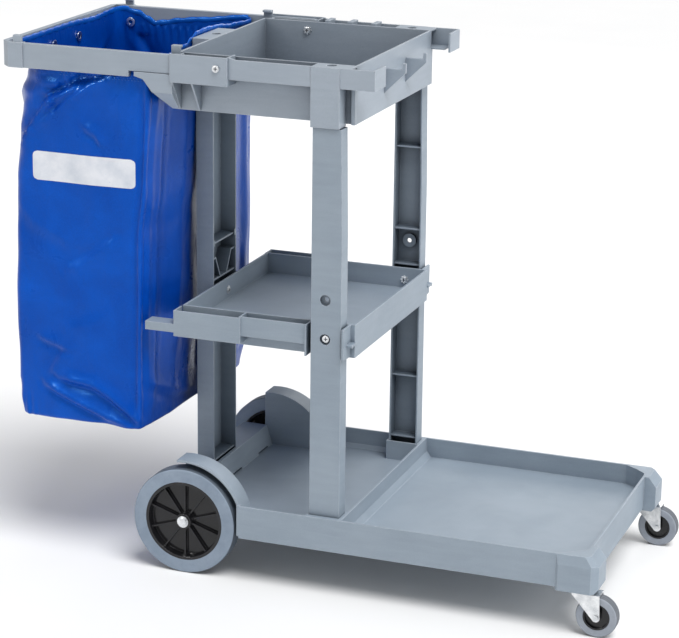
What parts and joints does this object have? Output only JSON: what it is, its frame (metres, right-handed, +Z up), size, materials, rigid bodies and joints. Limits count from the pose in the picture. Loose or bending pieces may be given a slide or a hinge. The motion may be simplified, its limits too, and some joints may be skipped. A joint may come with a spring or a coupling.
{
  "type": "housekeeping cart",
  "caption": "Grey moulded housekeeping cart with a low platform, middle tray, top bin with side rails, and a blue bag hung in a turn-up ring frame.",
  "frame": {"origin": "on the floor under the middle of the cart's bounding box, wheels resting on Z = 0", "axes": "+X towards the open platform end, -X the bag end, +Z up, Y across the cart"},
  "size_m": [1.19, 0.505, 0.989],
  "materials": {
    "moulding": "satin",
    "tyre_grey": "matte",
    "hub_black": "gloss",
    "zinc": "bright zinc plated",
    "bag_cloth": "coated vinyl"
  },
  "bodies": {
    "chassis": {"deck": "moulding", "post_near": "moulding", "post_far": "moulding", "post_rear": "moulding", "top_bin": "moulding", "bin_rail_near": "moulding", "bin_rail_far": "moulding", "bin_block_near": "moulding", "bin_block_far": "moulding", "bin_socket_rear": "moulding", "end_hooks": "moulding", "mid_tray": "moulding", "tray_pockets_near": "moulding", "tray_pockets_far": "moulding", "rear_axle": "zinc", "axle_caps": "zinc", "tray_bolts": "zinc", "pivot_screws": "zinc", "caster_races": "zinc"},
    "bag_frame_body": {"bag_frame": "moulding"},
    "bag_body": {"bag": "bag_cloth", "bag_grommets": "zinc"},
    "rear_wheel_near": {"rear_hub_near": "hub_black", "rear_tyre_near": "tyre_grey"},
    "rear_wheel_far": {"rear_hub_far": "hub_black", "rear_tyre_far": "tyre_grey"},
    "caster_near": {"caster_fork_near": "zinc", "caster_bolt_near": "zinc"},
    "caster_far": {"caster_fork_far": "zinc", "caster_bolt_far": "zinc"},
    "caster_wheel_near": {"caster_hub_near": "hub_black", "caster_tyre_near": "tyre_grey"},
    "caster_wheel_far": {"caster_hub_far": "hub_black", "caster_tyre_far": "tyre_grey"}
  },
  "joints": [
    {"name": "frame_fold", "type": "hinge", "parent": "chassis", "child": "bag_frame_body", "pos_m": [-0.168, 0, 0.958], "axis": [0, 1, 0], "range_deg": [0, 90]},
    {"name": "bag_lift", "type": "slide", "parent": "bag_frame_body", "child": "bag_body", "axis": [0, 0, 1], "range_m": [0, 0.735]},
    {"name": "rear_wheel_near_spin", "type": "hinge", "parent": "chassis", "child": "rear_wheel_near", "pos_m": [-0.235, -0.2275, 0.1016], "axis": [0, 1, 0], "continuous": true},
    {"name": "rear_wheel_far_spin", "type": "hinge", "parent": "chassis", "child": "rear_wheel_far", "pos_m": [-0.235, 0.2275, 0.1016], "axis": [0, 1, 0], "continuous": true},
    {"name": "caster_near_swivel", "type": "hinge", "parent": "chassis", "child": "caster_near", "pos_m": [0.533, -0.234, 0.08], "axis": [0, 0, 1], "continuous": true},
    {"name": "caster_far_swivel", "type": "hinge", "parent": "chassis", "child": "caster_far", "pos_m": [0.533, 0.234, 0.08], "axis": [0, 0, 1], "continuous": true},
    {"name": "caster_wheel_near_spin", "type": "hinge", "parent": "caster_near", "child": "caster_wheel_near", "pos_m": [0.557, -0.234, 0.038], "axis": [0, 1, 0], "continuous": true},
    {"name": "caster_wheel_far_spin", "type": "hinge", "parent": "caster_far", "child": "caster_wheel_far", "pos_m": [0.557, 0.234, 0.038], "axis": [0, 1, 0], "continuous": true}
  ]
}
